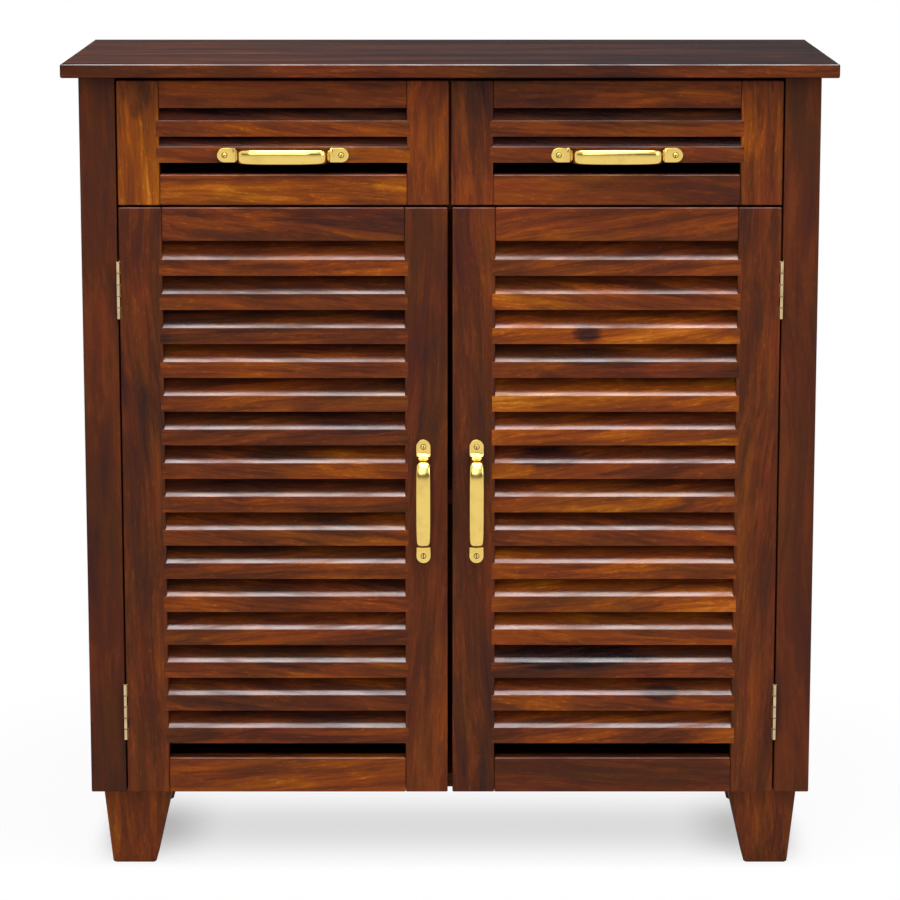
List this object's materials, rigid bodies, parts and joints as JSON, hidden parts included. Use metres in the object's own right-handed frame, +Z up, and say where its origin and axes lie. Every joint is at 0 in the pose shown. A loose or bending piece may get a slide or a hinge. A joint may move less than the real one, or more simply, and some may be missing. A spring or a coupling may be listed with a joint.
{
  "type": "louvred door cabinet",
  "caption": "Free-standing hardwood cabinet on tapered legs, with louvred drawers over louvred doors, brass bow handles and butt hinges.",
  "frame": {"origin": "centre of the bounding box's footprint, on the floor under the four feet", "axes": "+X to the right of someone facing the doors, +Y from the doors to the back, +Z up"},
  "size_m": [0.88, 0.4102, 0.95],
  "materials": {
    "top_wood": "dark varnished rosewood-like hardwood, satin gloss",
    "carcass_wood": "dark brown varnished hardwood",
    "frame_wood": "red-brown varnished hardwood with orange and near-black streaks",
    "slat_wood": "streaked orange-brown varnished hardwood",
    "inside_wood": "plain brown hardwood, thinly varnished",
    "handle_brass": "satin gold brass with bright rubbed edges",
    "hinge_brass": "dull antique brass"
  },
  "bodies": {
    "carcass": {"top_panel": "top_wood", "left_side": "carcass_wood", "right_side": "carcass_wood", "back_panel": "inside_wood", "bottom_panel": "inside_wood", "drawer_deck": "inside_wood", "drawer_partition": "inside_wood", "shelf": "inside_wood", "front_left_leg": "carcass_wood", "front_right_leg": "carcass_wood", "rear_left_leg": "carcass_wood", "rear_right_leg": "carcass_wood", "left_upper_hinge_frame_leaf": "hinge_brass", "left_lower_hinge_frame_leaf": "hinge_brass", "right_upper_hinge_frame_leaf": "hinge_brass", "right_lower_hinge_frame_leaf": "hinge_brass"},
    "left_door": {"left_door_frame": "frame_wood", "left_door_slat_01": "slat_wood", "left_door_slat_02": "slat_wood", "left_door_slat_03": "slat_wood", "left_door_slat_04": "slat_wood", "left_door_slat_05": "slat_wood", "left_door_slat_06": "slat_wood", "left_door_slat_07": "slat_wood", "left_door_slat_08": "slat_wood", "left_door_slat_09": "slat_wood", "left_door_slat_10": "slat_wood", "left_door_slat_11": "slat_wood", "left_door_slat_12": "slat_wood", "left_door_slat_13": "slat_wood", "left_door_slat_14": "slat_wood", "left_door_slat_15": "slat_wood", "left_upper_hinge_door_leaf": "hinge_brass", "left_lower_hinge_door_leaf": "hinge_brass", "left_door_handle": "handle_brass"},
    "right_door": {"right_door_frame": "frame_wood", "right_door_slat_01": "slat_wood", "right_door_slat_02": "slat_wood", "right_door_slat_03": "slat_wood", "right_door_slat_04": "slat_wood", "right_door_slat_05": "slat_wood", "right_door_slat_06": "slat_wood", "right_door_slat_07": "slat_wood", "right_door_slat_08": "slat_wood", "right_door_slat_09": "slat_wood", "right_door_slat_10": "slat_wood", "right_door_slat_11": "slat_wood", "right_door_slat_12": "slat_wood", "right_door_slat_13": "slat_wood", "right_door_slat_14": "slat_wood", "right_door_slat_15": "slat_wood", "right_upper_hinge_door_leaf": "hinge_brass", "right_lower_hinge_door_leaf": "hinge_brass", "right_door_handle": "handle_brass"},
    "left_drawer": {"left_drawer_front": "frame_wood", "left_drawer_box": "inside_wood", "left_drawer_handle": "handle_brass"},
    "right_drawer": {"right_drawer_front": "frame_wood", "right_drawer_box": "inside_wood", "right_drawer_handle": "handle_brass"}
  },
  "joints": [
    {"name": "left_door_hinge", "type": "hinge", "parent": "carcass", "child": "left_door", "pos_m": [-0.3796, -0.17765, 0.44], "axis": [0, 0, -1], "range_deg": [0, 170]},
    {"name": "right_door_hinge", "type": "hinge", "parent": "carcass", "child": "right_door", "pos_m": [0.3796, -0.17765, 0.44], "axis": [0, 0, 1], "range_deg": [0, 170]},
    {"name": "left_drawer_slide", "type": "slide", "parent": "carcass", "child": "left_drawer", "axis": [0, -1, 0], "range_m": [0, 0.25]},
    {"name": "right_drawer_slide", "type": "slide", "parent": "carcass", "child": "right_drawer", "axis": [0, -1, 0], "range_m": [0, 0.25]}
  ]
}
